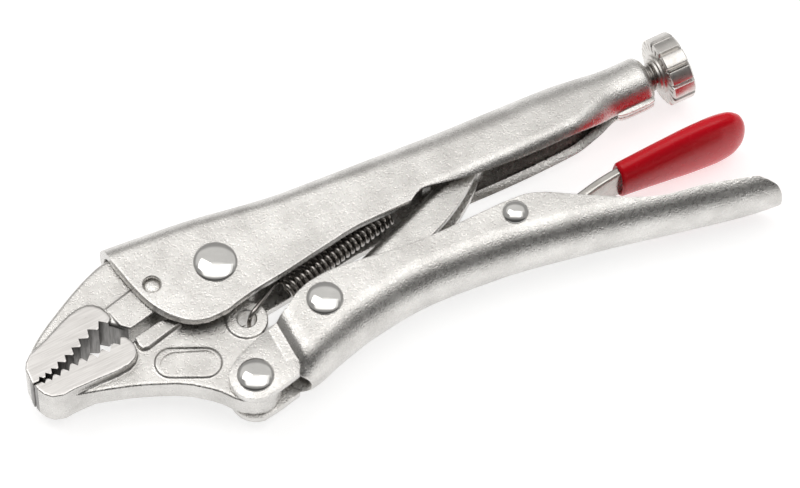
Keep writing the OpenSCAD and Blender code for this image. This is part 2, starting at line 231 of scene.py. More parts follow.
def grid_faces(bm, rows, closed=False):
    """Quads between rows of points. closed: each row is a loop."""
    verts = [[bm.verts.new(tuple(map(float, p))) for p in row] for row in rows]
    for a, b in zip(verts, verts[1:]):
        n = len(a)
        for j in range(n if closed else n - 1):
            k = (j + 1) % n
            bm.faces.new((a[j], b[j], b[k], a[k]))
    return verts


def lathe(profile, axis, at, n=72, wave=None):
    """bmesh of a profile of (along, radius) pairs turned round axis "x" or "z" through at.
    wave(along, radius, angle) may change a point's (along, radius)."""
    bm = bmesh.new()
    rows = []
    for along, radius in profile:
        row = []
        for k in range(n):
            a = 2 * math.pi * k / n
            s, r = wave(along, radius, a) if wave else (along, radius)
            c, d = r * math.cos(a), r * math.sin(a)
            row.append((at[0] + s, at[1] + c, at[2] + d) if axis == "x"
                       else (at[0] + c, at[1] + d, at[2] + s))
        rows.append(row)
    verts = grid_faces(bm, rows, closed=True)
    bm.faces.new(verts[0])
    bm.faces.new(verts[-1])
    bmesh.ops.recalc_face_normals(bm, faces=bm.faces)
    return bm


def sweep(path, radius, sides=12):
    """bmesh of a round wire along a path."""
    path = [Vector(p) for p in path]
    bm = bmesh.new()
    rows, side = [], None
    for i, p in enumerate(path):
        t = (path[min(i + 1, len(path) - 1)] - path[max(i - 1, 0)]).normalized()
        if side is None:
            side = t.orthogonal().normalized()
        side = (side - t * side.dot(t)).normalized()
        other = t.cross(side)
        rows.append([p + radius * (side * math.cos(2 * math.pi * k / sides)
                                   + other * math.sin(2 * math.pi * k / sides))
                     for k in range(sides)])
    verts = grid_faces(bm, rows, closed=True)
    bm.faces.new(verts[0])
    bm.faces.new(verts[-1])
    return bm


def voxel_solid(obj, size, smoothing=4):
    """Merges the overlapping plates of obj into one skin with small fillets."""
    remesh = obj.modifiers.new("skin", "REMESH")
    remesh.mode = "VOXEL"
    remesh.voxel_size = size * MM
    relax = obj.modifiers.new("relax", "SMOOTH")
    relax.factor = 0.5
    relax.iterations = smoothing
    return bake_modifiers(obj)


def cut(obj, cutter):
    """Subtracts cutter from obj and removes it."""
    mod = obj.modifiers.new("cut", "BOOLEAN")
    mod.operation = "DIFFERENCE"
    mod.solver = "EXACT"
    mod.object = cutter
    bake_modifiers(obj)
    discard(cutter)
    return obj


# ---------------------------------------------------------------- materials

def material(name, colour, metallic, roughness):
    """A Principled material and helpers that add nodes to it."""
    mat = bpy.data.materials.new(name)
    mat.use_nodes = True
    nodes, links = mat.node_tree.nodes, mat.node_tree.links
    shader = nodes["Principled BSDF"]
    shader.inputs["Base Color"].default_value = (*colour, 1)
    shader.inputs["Metallic"].default_value = metallic
    shader.inputs["Roughness"].default_value = roughness
    place = nodes.new("ShaderNodeTexCoord").outputs["Object"]

    def noise(scale, detail=2.0, stretch=None, turn=0.0):
        source = place
        if stretch:
            mapping = nodes.new("ShaderNodeMapping")
            mapping.inputs["Scale"].default_value = stretch
            mapping.inputs["Rotation"].default_value = (0, 0, turn)
            links.new(place, mapping.inputs["Vector"])
            source = mapping.outputs["Vector"]
        n = nodes.new("ShaderNodeTexNoise")
        n.inputs["Scale"].default_value = scale
        n.inputs["Detail"].default_value = detail
        links.new(source, n.inputs["Vector"])
        return n.outputs["Fac"]

    def spread(value, low, high, start=0.3, end=0.7):
        m = nodes.new("ShaderNodeMapRange")
        m.inputs["From Min"].default_value = start
        m.inputs["From Max"].default_value = end
        m.inputs["To Min"].default_value = low
        m.inputs["To Max"].default_value = high
        links.new(value, m.inputs["Value"])
        return m.outputs["Result"]

    def tint(value, dark, light):
        m = nodes.new("ShaderNodeMix")
        m.data_type = "RGBA"
        m.inputs["A"].default_value = (*dark, 1)
        m.inputs["B"].default_value = (*light, 1)
        links.new(value, m.inputs["Factor"])
        return m.outputs["Result"]

    def bumps(*layers):
        """Stacks (height, strength, depth in mm) layers on the normal."""
        normal = None
        for height, strength, depth in layers:
            b = nodes.new("ShaderNodeBump")
            b.inputs["Strength"].default_value = strength
            b.inputs["Distance"].default_value = depth * MM
            links.new(height, b.inputs["Height"])
            if normal:
                links.new(normal, b.inputs["Normal"])
            normal = b.outputs["Normal"]
        links.new(normal, shader.inputs["Normal"])

    def drive(socket, value):
        links.new(value, shader.inputs[socket])

    return mat, noise, spread, tint, bumps, drive, nodes, links


def pointiness(nodes):
    return nodes.new("ShaderNodeNewGeometry").outputs["Pointiness"]


def blasted(name, dark, light, rough, grain, depth):
    """Satin plated steel over a fine blasted grain, brighter where edges are rubbed."""
    mat, noise, spread, tint, bumps, drive, nodes, links = material(name, light, 1.0, rough)
    fine, coarse, cloud = noise(grain, 3), noise(grain * 0.32, 2), noise(180, 3)
    wear = spread(pointiness(nodes), 0, 1, 0.5, 0.6)
    shade_mix = nodes.new("ShaderNodeMath")
    shade_mix.operation = "MAXIMUM"
    links.new(spread(cloud, 0.1, 1.0), shade_mix.inputs[0])
    links.new(wear, shade_mix.inputs[1])
    drive("Base Color", tint(shade_mix.outputs[0], dark, light))
    drive("Roughness", spread(coarse, rough - 0.05, rough + 0.07))
    bumps((fine, 1.0, depth), (coarse, 0.3, depth))
    return mat


def polished(name, colour, rough):
    """Mirror-bright plating with faint handling marks."""
    mat, noise, spread, tint, bumps, drive, nodes, links = material(name, colour, 1.0, rough)
    smear, haze = noise(900, 4), noise(260, 3)
    dull = tuple(0.86 * c for c in colour)
    drive("Base Color", tint(spread(haze, 0, 1), dull, colour))
    drive("Roughness", spread(smear, rough * 0.6, rough * 1.6))
    bumps((noise(420, 2), 0.12, 0.02),)
    return mat


def ground(name, dark, light, turn):
    """Ground steel with fine parallel scratches."""
    mat, noise, spread, tint, bumps, drive, nodes, links = material(name, light, 1.0, 0.34)
    long_marks = noise(90, 4, stretch=(2.2, 46, 2.2), turn=turn)
    short_marks = noise(300, 3, stretch=(1.5, 24, 1.5), turn=turn + 0.15)
    drive("Base Color", tint(spread(long_marks, 0, 1), dark, light))
    drive("Roughness", spread(short_marks, 0.27, 0.42))
    bumps((long_marks, 0.28, 0.02), (short_marks, 0.2, 0.012))
    return mat


def vinyl():
    """Dipped glossy vinyl with a slight orange peel."""
    mat, noise, spread, tint, bumps, drive, nodes, links = material("red_vinyl", (0.62, 0.004, 0.012), 0.0, 0.24)
    shader = nodes["Principled BSDF"]
    shader.inputs["Coat Weight"].default_value = 0.12
    shader.inputs["Coat Roughness"].default_value = 0.12
    shader.inputs["Specular IOR Level"].default_value = 0.22
    drive("Base Color", tint(spread(noise(120, 3), 0, 1), (0.66, 0.003, 0.012), (0.76, 0.006, 0.02)))
    drive("Roughness", spread(noise(700, 2), 0.2, 0.3))
    bumps((noise(650, 2), 0.1, 0.03), (noise(160, 2), 0.12, 0.08))
    return mat


NICKEL = blasted("nickel_blasted", (0.56, 0.545, 0.525), (0.77, 0.755, 0.73), 0.27, 4000, 0.085)
JAW_BODY = blasted("jaw_blasted", (0.54, 0.525, 0.505), (0.75, 0.735, 0.71), 0.28, 4300, 0.065)
GROUND = ground("jaw_ground", (0.60, 0.58, 0.56), (0.76, 0.74, 0.72), math.radians(-30))
TOOTH = ground("tooth_steel", (0.15, 0.145, 0.14), (0.33, 0.32, 0.31), math.radians(90))
RIVET = polished("polished_rivet", (0.74, 0.73, 0.71), 0.07)
SPRING = polished("spring_steel", (0.46, 0.435, 0.41), 0.17)
SCREW = polished("screw_steel", (0.46, 0.44, 0.42), 0.22)
KNOB = blasted("knob_nickel", (0.56, 0.54, 0.515), (0.74, 0.72, 0.69), 0.3, 5000, 0.008)
LEVER = blasted("lever_steel", (0.42, 0.40, 0.37), (0.60, 0.58, 0.55), 0.24, 2200, 0.02)
VINYL = vinyl()


def finish_piece(obj, body, slot, *mats, replaces=(), angle=32):
    shade(obj, angle)
    if not obj.data.materials:
        for mat in mats:
            obj.data.materials.append(mat)
    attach(obj, body)
    if replaces:
        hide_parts(*replaces)
    return obj


# ---------------------------------------------------------------- bent sheet channels

def half_section(row, d, edge):
    """From the lower edge of the near wall to the crown of the spine, inset by d, as (y, z)."""
    w, spine, height, lip, r, angle = row
    start = spine - height
    points = []
    bend = min(math.radians(angle), math.asin(min(1, max(0, (lip + r - edge) / max(r - d, 0.05)))))
    if edge < start:
        for b in np.linspace(bend, 0, 14):
            points.append((lip + r - (r - d) * math.sin(b), w - r + (r - d) * math.cos(b)))
        if edge > lip + r:
            points = [(edge, w - d)]
        low = 0.0
    else:
        low = math.asin(min(1, (edge - start) / (height - d)))
    for a in np.linspace(low, math.pi / 2, 40):
        points.append((start + (height - d) * math.sin(a), (w - d) * math.cos(a)))
    return np.array(points)


def resample(points, count):
    length = np.concatenate([[0], np.cumsum(np.linalg.norm(np.diff(points, axis=0), axis=1))])
    where = np.linspace(0, length[-1], count)
    return np.stack([np.interp(where, length, points[:, k]) for k in (0, 1)], 1)


def channel(table, sheet, front, rear, edge, flip=1, columns=170, half=56, bevel=0.22):
    """Closed mesh of bent sheet. front(y) and rear(y) bound x; edge(x) is the lower edge."""
    cache = {}

    def point(x, j, d):
        key = (round(x, 4), d)
        if key not in cache:
            row = [column(table, x, c) for c in range(1, 7)]
            cache[key] = resample(half_section(row, d, edge(x)), half)
        s = cache[key]
        if j < half:
            return s[j][0], s[j][1]
        mirrored = s[2 * half - 2 - j]
        return mirrored[0], -mirrored[1]

    def bound(limit, j, x):
        for _ in range(14):
            x = 0.5 * x + 0.5 * float(limit(point(x, j, 0)[0]))
        return x

    count = 2 * half - 1
    x0 = [bound(front, j, float(front(point(table[2][0], j, 0)[0]))) for j in range(half)]
    x1 = [bound(rear, j, table[-1][0] - 1) for j in range(half)]
    x0 += x0[-2::-1]
    x1 += x1[-2::-1]
    bm = bmesh.new()
    skins = []
    for d in (0, sheet):
        rows = []
        for i in range(columns):
            u = i / (columns - 1)
            row = []
            for j in range(count):
                x = x0[j] + (x1[j] - x0[j]) * u
                y, z = point(x, j, d)
                row.append((x, flip * y, z))
            rows.append(row)
        skins.append(grid_faces(bm, rows))
    outer, inner = skins
    for i in range(columns - 1):
        for j in (0, count - 1):
            bm.faces.new((outer[i][j], inner[i][j], inner[i + 1][j], outer[i + 1][j]))
    for j in range(count - 1):
        for i in (0, columns - 1):
            bm.faces.new((outer[i][j], outer[i][j + 1], inner[i][j + 1], inner[i][j]))
    bmesh.ops.recalc_face_normals(bm, faces=bm.faces)
    bevel_sharp(bm, bevel, 2, 55)
    return bm


# ---------------------------------------------------------------- upper handle

UPPER = [
    [-18, HALF_W, 12.9, 4, -13, 3, 3],
    [-8, HALF_W, 12, 4, -13, 3, 3],
    [1, HALF_W, 11, 4, -13, 3, 3],
    [8, HALF_W, 9.8, 4, -13, 3, 3],
    [15, HALF_W, 8.8, 4.2, -12, 3, 3],
    [24, HALF_W, 8.2, 4.4, -11, 3, 3],
    [33, HALF_W, 7.7, 4.8, -8, 3, 8],
    [38, HALF_W - 0.1, 7.4, 5, -5.3, 3, 20],
    [46, HALF_W - 0.3, 7, 5.2, -5.4, 2.8, 45],
    [56, HALF_W - 0.5, 6.7, 5.4, -5.4, 2.6, 62],
    [66, HALF_W - 0.8, 6.3, 5.3, -5.2, 2.6, 68],
    [71, HALF_W - 1.3, 5.8, 4.9, -4.6, 3.6, 76],
    [75, TUBE_R + 0.1, 5.3, 4.5, -3.7, 4.3, 84],
    [78, TUBE_R, SCREW_Y + TUBE_R, TUBE_R, SCREW_Y - TUBE_R, TUBE_R - 0.05, 87],
    [81.4, TUBE_R, SCREW_Y + TUBE_R, TUBE_R, SCREW_Y - TUBE_R, TUBE_R - 0.05, 88],
    [82.2, TUBE_R - 0.3, SCREW_Y + TUBE_R - 0.3, TUBE_R - 0.3, SCREW_Y - TUBE_R + 0.3, TUBE_R - 0.35, 88],
    [TUBE_END, TUBE_R - 0.8, SCREW_Y + TUBE_R - 0.8, TUBE_R - 0.8, SCREW_Y - TUBE_R + 0.8, TUBE_R - 0.85, 88]]
UPPER_FRONT = [(-8.9, -5.6), (-8.2, -7.8), (-6.6, -9.9), (-4.2, -11.8), (-1.4, -13.2), (2.2, -14.2),
               (6, -14.9), (9.4, -15.4), (14, -15.6)]
UPPER_EDGE = [(-16, -8.9), (-2.8, -8.9), (0, -8.3), (3, -7.7), (10, -6.8), (17, -5.7), (26, -4.6),
              (36, -4.6), (39, -9), (84, -9)]


def upper_handle():
    bm = channel(UPPER, SHEET, lambda y: smooth(UPPER_FRONT, y), lambda y: TUBE_END,
                 lambda x: float(smooth(UPPER_EDGE, x)), columns=190)
    # folded seam: two leaves of sheet under the tube
    for side in (-1, 1):
        leaf = rounded([(74.6, -3.1), (82.0, -3.1), (82.1, -3.9), (81.6, -4.35), (76.8, -4.4), (75, -4.1)], 1)
        z0, z1 = sorted((side * 0.06, side * 1.05))
        add_plate(bm, leaf, z0, z1, 0.18, 2)
    # tab for the spring's rear hook
    add_plate(bm, [(ANCHOR[0] - 0.8, -0.9), (ANCHOR[0] + 0.8, -0.9), (ANCHOR[0] + 0.8, 5.8), (ANCHOR[0] - 0.8, 5.8)],
              -1.9, 1.9, 0.2, 2)
    obj = to_object("upper_handle_shell", bm)
    # sunk seat of the jaw pin, with a softened brim
    seat = lathe([(-0.5, 1.5), (0.5, 1.5), (0.64, 1.56), (0.8, 1.75), (1.4, 1.75)], "z", (PIN.x, PIN.y, HALF_W - 0.72), 48)
    cut(obj, to_object("seat", seat))
    return finish_piece(obj, "upper_handle", "nickel_blasted", NICKEL, replaces=("upper_handle",))


def fixed_jaw_pin():
    reach = HALF_W - 0.45
    profile = [(-reach, 0.01), (-reach + 0.05, 1.2), (-reach + 0.3, 1.4), (-INNER_W, 1.42), (INNER_W, 1.42),
               (reach - 0.42, 1.42), (reach - 0.3, 1.3), (reach - 0.16, 1.1), (reach - 0.06, 0.7), (reach, 0.25), (reach, 0.01)]
    obj = to_object("fixed_jaw_pin_disc", lathe(profile, "z", (PIN.x, PIN.y, 0), 48))
    return finish_piece(obj, "upper_handle", "nickel_blasted", NICKEL, replaces=("fixed_jaw_pin",), angle=60)


# ---------------------------------------------------------------- jaws

TOOTH_DEPTH = 0.6
FIXED_ARCH = [(-35.6, -5.65), (-34.4, -5.55), (-33.1, -5.4), (-31.7, -5), (-30, -4.5), (-28.3, -3.85),
              (-26.6, -3.05), (-24.7, -2.2), (-22.6, -1.5), (-20.5, -1.2), (-19.2, -2.5), (-17.7, -3.7)]
LOWER_ARCH = [(-35.4, -5.82), (-34.2, -5.72), (-32.8, -5.56), (-31.2, -5.3), (-29.4, -5), (-27.6, -4.85),
              (-25.7, -4.95), (-23.7, -5.05), (-21.7, -4.85), (-19.8, -4.35)]
# outer edge of the fixed jaw, as (x, y) rows with x rising
FIXED_BACK = [(-36.8, -3.6), (-36.4, -2.1), (-35.2, -0.6), (-33.6, 0.9), (-31, 2.8), (-28.1, 4.5), (-25, 6.2),
              (-22.2, 7.6), (-19.4, 8.8), (-16.5, 9.7), (-14.2, 9.9)]


def tooth_cutter(arch, count, side):
    bm = bmesh.new()
    for i in range(count):
        a, b = np.array(arch[i]), np.array(arch[i + 1])
        along = (b - a) / np.linalg.norm(b - a)
        root = a + (b - a) * 0.42 + np.array((-along[1], along[0])) * side * TOOTH_DEPTH * np.linalg.norm(b - a)
        first = root + (a + along * 0.06 - root) * 1.5
        second = root + (b - along * 0.06 - root) * 1.5
        add_plate(bm, [tuple(root), tuple(first), tuple(second)], -6, 6)
    return to_object("cutter", bm)


def face_finish(obj, arch, region):
    """Ground metal on the flat faces inside region, tooth steel in the bite, jaw body elsewhere."""
    for mat in (JAW_BODY, GROUND, TOOTH):
        obj.data.materials.append(mat)
    arch = np.array(arch)
    top = (JAW_HALF - 0.12) * MM
    for face in obj.data.polygons:
        c = face.center
        x, y, z = c.x / MM, c.y / MM, c.z - MID_Z * MM
        near = np.min(np.hypot(arch[:, 0] - x, arch[:, 1] - y))
        if abs(face.normal.z) > 0.9 and abs(z) > top and region(x, y):
            face.material_index = 1
        elif abs(face.normal.z) < 0.4 and near < 1.5:
            face.material_index = 2
    return obj


def fixed_jaw():
    arch = FIXED_ARCH[:10]
    bm = bmesh.new()
    body = JAW_HALF - 0.5
    back = [(x, float(smooth(FIXED_BACK, x))) for x in np.linspace(-14.2, -36.8, 44)]
    add_plate(bm, [(-2, 5.8), (-8, 7.1), (-13, 7.9)] + back + [(-36.8, -5.65)] + FIXED_ARCH
              + [(-12.2, -2.6), (-9.5, -2.2), (-4, -1)], -body, body, 0.75, 4)
    crest = [(-34.9, -0.5), (-33.2, 0.1), (-31.4, 0.7), (-29.6, 1.5), (-27.6, 2.4), (-25.8, 3.1), (-24, 3.5),
             (-22.5, 3.5), (-21.3, 2.9), (-20.4, 1.9), (-19.9, 0.6), (-19.8, -0.5)]
    add_plate(bm, crest[::-1] + [(-36.0, -1.5), (-36.6, -2.6), (-36.8, -5.65)] + arch,
              -JAW_HALF, JAW_HALF, 0.16, 2)
    # raised strap between the head and the handle, and the cutter's upper blade under it
    strap = [(-19.9, 1.5), (-12, 3.4), (-10.2, -2.2), (-17.7, -3.75), (-19, -2.5)]
    add_plate(bm, strap, 0.25 - JAW_HALF, JAW_HALF - 0.25, 0.2, 2)
    add_plate(bm, circle(0, 0, 6.2), -1.6, 1.6, 0.1, 1)
    obj = voxel_solid(to_object("fixed_jaw_forging", bm), 0.14, 4)
    cut(obj, tooth_cutter(FIXED_ARCH, 9, 1))
    cut(obj, to_object("hub_room", lathe([(1.62, 7.3), (6, 7.3)], "z", (0, 0, 0), 48)))
    cut(obj, to_object("hub_room", lathe([(-6, 7.3), (-1.62, 7.3)], "z", (0, 0, 0), 48)))
    face_finish(obj, FIXED_ARCH[:11], lambda x, y: x < -18.4)
    return finish_piece(obj, "upper_handle", "jaw_steel", replaces=("fixed_jaw",), angle=34)


def lower_jaw():
    bm = bmesh.new()
    neck = [(-35.6, -7.6), (-33.6, -9.2), (-27.7, -10.8), (-20.7, -13.1), (-13.9, -16.3),
            (-9.6, -20), (-7.4, -23.2), (-4.8, -25), (-2, -25.2), (0.6, -23.6), (1.6, -20),
            (2.6, -14.6), (1, -9), (5, -4), (-5, -4), (-8.2, -3.9), (-12.2, -4),
            (-17.9, -5), (-19.4, -6)]
    add_plate(bm, rounded(neck, 1, 0.2), 0.3 - NECK_HALF, NECK_HALF - 0.3, 0.5, 3)
    head = [(-36.6, -5.85)] + LOWER_ARCH + [(-19.1, -4.8), (-18.6, -5.8), (-18.4, -6.9), (-18.7, -8.2),
                                            (-19.5, -9.1), (-20.8, -9.7), (-23, -9.9), (-27, -9.8), (-31, -9.7),
                                            (-33, -9.9), (-34.9, -9.3), (-35.9, -8.2), (-36.4, -7)]
    add_plate(bm, head, -JAW_HALF, JAW_HALF, 0.2, 2)
    blade = [(-17.7, -5.1), (-12.1, -4.1), (-9.6, -6.2), (-16.4, -7.8), (-17.4, -7.6), (-17.8, -6.8)]
    add_plate(bm, blade, 1 - JAW_HALF, JAW_HALF - 1, 0.2, 2)
    for x, y, r, half in ((0, 0, 7, JAW_HALF), (*SPRING_LUG, 3.6, NECK_HALF), (HANDLE_PIVOT.x, HANDLE_PIVOT.y, 4, NECK_HALF)):
        add_plate(bm, circle(x, y, r), -half, half, 0.25, 2)
    # blank stadium frame on the near face
    for length, width, top in ((5.6, 2.75, NECK_HALF),):
        outline = []
        for side in (1, -1):
            for k in range(17):
                a = math.pi * (k / 16 - 0.5)
                outline.append((side * (length - width + width * math.cos(a)), side * width * math.sin(a)))
        turn = -VIEW_TURN * 0.94
        stadium = [(STADIUM[0] + x * math.cos(turn) - y * math.sin(turn), STADIUM[1] + x * math.sin(turn) + y * math.cos(turn))
                   for x, y in outline]
        add_plate(bm, stadium, NECK_HALF - 0.7, top, 0.2, 2)
    obj = voxel_solid(to_object("lower_jaw_forging", bm), 0.14, 3)
    inner = [(STADIUM[0] + (x - STADIUM[0]) * 0.87, STADIUM[1] + (y - STADIUM[1]) * 0.74) for x, y in stadium]
    recess = bmesh.new()
    add_plate(recess, inner, NECK_HALF - 0.32, 6, 0.0)
    cut(obj, to_object("recess", recess))
    cut(obj, tooth_cutter(LOWER_ARCH, 9, -1))
    cut(obj, to_object("lug_hole", lathe([(-6, 1.8), (-2.75, 1.8), (-2.5, 1.55), (2.5, 1.55), (2.75, 1.8), (6, 1.8)],
                                         "z", (*SPRING_LUG, 0), 48)))
    slot = bmesh.new()
    add_plate(slot, [(0, 0), (9, 2), (9, 9), (-12, 9), (-12, -2.4)], -1.75, 1.75)
    cut(obj, to_object("slot", slot))
    face_finish(obj, LOWER_ARCH, lambda x, y: x < -18.4)
    return finish_piece(obj, "lower_jaw", "jaw_steel", replaces=("lower_jaw",), angle=34)


# ---------------------------------------------------------------- lower handle and link

LOWER = [
    [2.4, EAR_OUT, 25.3, 4.6, 4, 1.9, 3],
    [4.2, EAR_OUT + 0.05, 25.3, 4.7, 4, 1.9, 3],
    [5.4, HALF_W - 0.45, 25.2, 4.9, 4, 1.9, 3],
    [7.4, HALF_W - 0.05, 24.8, 5.1, 4, 1.9, 3],
    [11, HALF_W, 23.6, 5.4, 4, 1.9, 3],
    [20, HALF_W, 21.4, 5.6, 4, 1.9, 3],
    [30, HALF_W, 20.4, 5.6, 4, 1.9, 3],
    [42, HALF_W, 21.2, 5.6, 4, 1.9, 3],
    [60, HALF_W, 24.3, 5.6, 4, 1.9, 3],
    [75, HALF_W, 27.6, 5.6, 4, 1.9, 3],
    [87, HALF_W - 0.2, 30.1, 5.4, 4, 1.9, 3],
    [94, HALF_W - 0.9, 31, 5, 4, 1.9, 3]]
LOWER_EDGE = [(2.4, 14.7), (6.8, 12.9), (9.8, 11.2), (12.4, 10.4), (16, 10.1), (22, 10.7), (30, 11.8),
              (37, 12.1), (47, 12), (51.4, 12.2), (55, 13.4), (58.6, 15.6), (63.2, 18.4), (68, 21.2),
              (73.2, 23.2), (79, 24.3), (84, 25.6), (88.2, 26.8), (94, 28.6)]
LOWER_REAR = [(24, 86), (25.6, 87.6), (27, 89), (28.4, 90.6), (29.5, 91.6), (30.5, 91.9), (31.4, 91.6)]
LOWER_FRONT = [(14, 2.4), (21, 2.4), (23.4, 2.9), (24.7, 4.4), (25.4, 5.3)]


def lower_handle():
    bm = channel(LOWER, SHEET, lambda y: smooth(LOWER_FRONT, y), lambda y: smooth(LOWER_REAR, y),
                 lambda x: float(smooth(LOWER_EDGE, x)), flip=-1, columns=190)
    ear = [(HANDLE_PIVOT.x + 4.5 * math.cos(a), HANDLE_PIVOT.y + 4.5 * math.sin(a))
           for a in np.linspace(math.radians(140), math.radians(262), 20)]
    ear += [(-0.6, -25.1), (3.4, -24.2), (4.2, -23), (4.2, -14), (3, -14.1), (-0.6, -15.3), (-4.4, -16.7)]
    for side in (-1, 1):
        z0, z1 = sorted((side * EAR_IN, side * (EAR_OUT - 0.02)))
        add_plate(bm, ear, z0, z1, 0.2, 2)
    return finish_piece(to_object("lower_handle_shell", bm), "lower_handle", "nickel_blasted", NICKEL,
                        replaces=("lower_handle",))


LINK_HALF = INNER_W - 0.15
LINK = [
    [-4, LINK_HALF, 3.2, 2.6, -8, 1.6, 3],
    [3, LINK_HALF, 3, 2.6, -8, 1.6, 3],
    [9, LINK_HALF, 2.1, 2.6, -8, 1.6, 3],
    [22, LINK_HALF - 0.2, 1.9, 2.6, -8, 1.6, 3],
    [32, 3.7, 1.8, 2.4, -8, 1.6, 3],
    [40, 3.1, 1.4, 2, -8, 1.6, 3]]
LINK_EDGE = [(-4, -1.6), (-2.4, -3.2), (0, -3.9), (6, -4.4), (20, -4.8), (24.2, -4.7), (35.2, -2.6), (39, -0.8)]


def toggle_link():
    bm = channel(LINK, LINK_SHEET, lambda y: -3.4, lambda y: 39.0, lambda x: float(smooth(LINK_EDGE, x)),
                 columns=80, half=36, bevel=0.18)
    add_plate(bm, circle(38, -0.1, 1.7, 32), -2.9, 2.9, 0.2, 2)
    bmesh.ops.rotate(bm, verts=bm.verts, cent=(0, 0, 0), matrix=Matrix.Rotation(LINK_ANGLE, 3, "Z"))
    bmesh.ops.translate(bm, verts=bm.verts, vec=(LINK_PIVOT.x, LINK_PIVOT.y, 0))
    return finish_piece(to_object("toggle_link_shell", bm), "toggle_link", "nickel_blasted", NICKEL,
                        replaces=("toggle_link",))


# ---------------------------------------------------------------- rivets

def rivet(name, at, shank, head, grip, body, node):
    """Shank and two mirror-polished domes, each with a fine undercut at its rim."""
    top = half_size(node).z - grip
    dome = [(grip - 0.05, shank), (grip, head - 0.22), (grip + 0.07, head - 0.16), (grip + 0.1, head)]
    for r in np.linspace(0.985, 0, 22):
        dome.append((grip + 0.16 + (top - 0.16) * (1 - r ** 2) ** 0.75, max(head * r, 0.01)))
    profile = [(-s, r) for s, r in dome[::-1]] + dome
    obj = to_object(name, lathe(profile, "z", (at.x, at.y, 0), 96))
    return finish_piece(obj, body, "polished_rivet", RIVET, replaces=(node,), angle=50)


# ---------------------------------------------------------------- screw, knob

def adjusting_screw():
    """Threaded rod. It turns with the knob, so it rides on the knob's body."""
    start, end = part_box("adjusting_screw")[0].x / MM, KNOB_X + 0.4
    steps, sides = int((end - start) / 0.1), 48
    bm = bmesh.new()
    rows = []
    for i in range(steps + 1):
        x = start + (end - start) * i / steps
        row = []
        for k in range(sides):
            turn = k / sides
            phase = abs(((x / PITCH + turn) % 1) - 0.5) * 2
            r = SCREW_R - 0.45 + 0.45 * min(1, max(0, (phase - 0.12) / 0.7))
            r = min(r, SCREW_R - 0.9 + (x - start) * 0.9)
            a = 2 * math.pi * turn
            row.append((x, SCREW_Y + r * math.cos(a), r * math.sin(a)))
        rows.append(row)
    verts = grid_faces(bm, rows, closed=True)
    bm.faces.new(verts[0])
    bm.faces.new(verts[-1])
    return finish_piece(to_object("adjusting_screw_rod", bm), "adjusting_knob", "screw_steel", SCREW,
                        replaces=("adjusting_screw",), angle=60)


def adjusting_knob():
    """Fluted knob with a stepped collar and a ring of setting marks on its front face."""
    flutes = 12

    def wave(s, r, a):
        if r > 5.3:
            turn = (a * flutes / (2 * math.pi) + 0.5) % 1 - 0.5
            groove = math.exp(-(abs(turn) / 0.085) ** 3)
            r -= 0.6 * groove * min(1, (r - 5.3) / 0.5)
        if 0 <= s < 0.3 and 4.5 < r < 5.5:
            mark = (a * 24 / (2 * math.pi) + 0.5) % 1 - 0.5
            s += 0.16 * math.exp(-(mark / 0.07) ** 2)
        return s, r

    profile = [(-0.9, SCREW_R - 0.3), (-0.9, 2.75), (-0.78, 2.95), (-0.45, 3.0), (-0.4, 3.35), (-0.3, 3.5), (0.02, 3.55), (0.05, 3.8),
               (0.05, 4.3), (0.05, 4.55), (0.05, 4.75), (0.05, 5.0), (0.05, 5.25), (0.05, 5.45), (0.06, 5.6), (0.14, 5.84),
               (0.32, KNOB_R), (0.9, KNOB_R), (KNOB_LEN / 2, KNOB_R), (KNOB_LEN - 0.8, KNOB_R), (KNOB_LEN - 0.35, KNOB_R),
               (KNOB_LEN - 0.1, 5.85), (KNOB_LEN, 5.6), (KNOB_LEN, 4.6), (KNOB_LEN - 0.25, 4.2), (KNOB_LEN - 0.25, 1.2),
               (KNOB_LEN - 0.1, 0.9), (KNOB_LEN - 0.1, 0.02)]
    obj = to_object("adjusting_knob_fluted", lathe(profile, "x", (KNOB_X, SCREW_Y, 0), 288, wave))
    return finish_piece(obj, "adjusting_knob", "knob_nickel", KNOB, replaces=("adjusting_knob",), angle=38)


# ---------------------------------------------------------------- lever and grip

LEVER_LINE = [(55.6, -17), (61, -15.8), (66, -14.85), (71, -14.4), (79, -14.2)]


def release_lever():
    bm = bmesh.new()
    thick, half = 0.8, 3.7
    upper, lower = [], []
    for x in np.linspace(55.6, 79, 34):
        y = float(smooth(LEVER_LINE, x))
        upper.append((x, y + thick))
        lower.append((x, y - thick))
    add_plate(bm, upper + lower[::-1], -half, half, 0.45, 3)
    cheek = rounded([(49, -12.1), (52, -12.6), (56, -14.4), (57.4, -16.8), (52, -18), (49, -17.3), (42, -15.6),
                     (35.6, -14.6), (35.2, -13.6), (35.6, -13), (42, -12.7)], 1)
    for side in (-1, 1):
        z0, z1 = sorted((side * (INNER_W - 1.8), side * (INNER_W - 0.3)))
        add_plate(bm, cheek, z0, z1, 0.2, 2)
    add_plate(bm, [(51.6, -17.9), (51.6, -16.9), (56.8, -16.3), (57.4, -17.7)], 0.3 - INNER_W, INNER_W - 0.3, 0.15, 2)
    add_plate(bm, [(35.6, -13), (35.2, -13.6), (35.6, -14.6), (37.6, -14.9), (37.8, -13)],
              0.3 - INNER_W, INNER_W - 0.3, 0.2, 2)
    return finish_piece(to_object("release_lever_strip", bm), "release_lever", "lever_steel", LEVER,
                        replaces=("release_lever",))


GRIP_WIDTH = [(69, 4.1), (69.35, 4.55), (70.4, 4.75), (73, 5.15), (78, 6.0), (83, 6.75), (87, 7.0), (89.8, 6.55),
              (91.7, 5.1), (92.6, 3.3), (92.96, 1.2), (93, 0.05)]
GRIP_THICK = [(69, 1.85), (69.35, 2.15), (70.4, 2.2), (73, 2.3), (78, 2.45), (83, 2.58), (87, 2.6), (89.8, 2.4),
              (91.7, 1.85), (92.6, 1.2), (92.96, 0.45), (93, 0.02)]


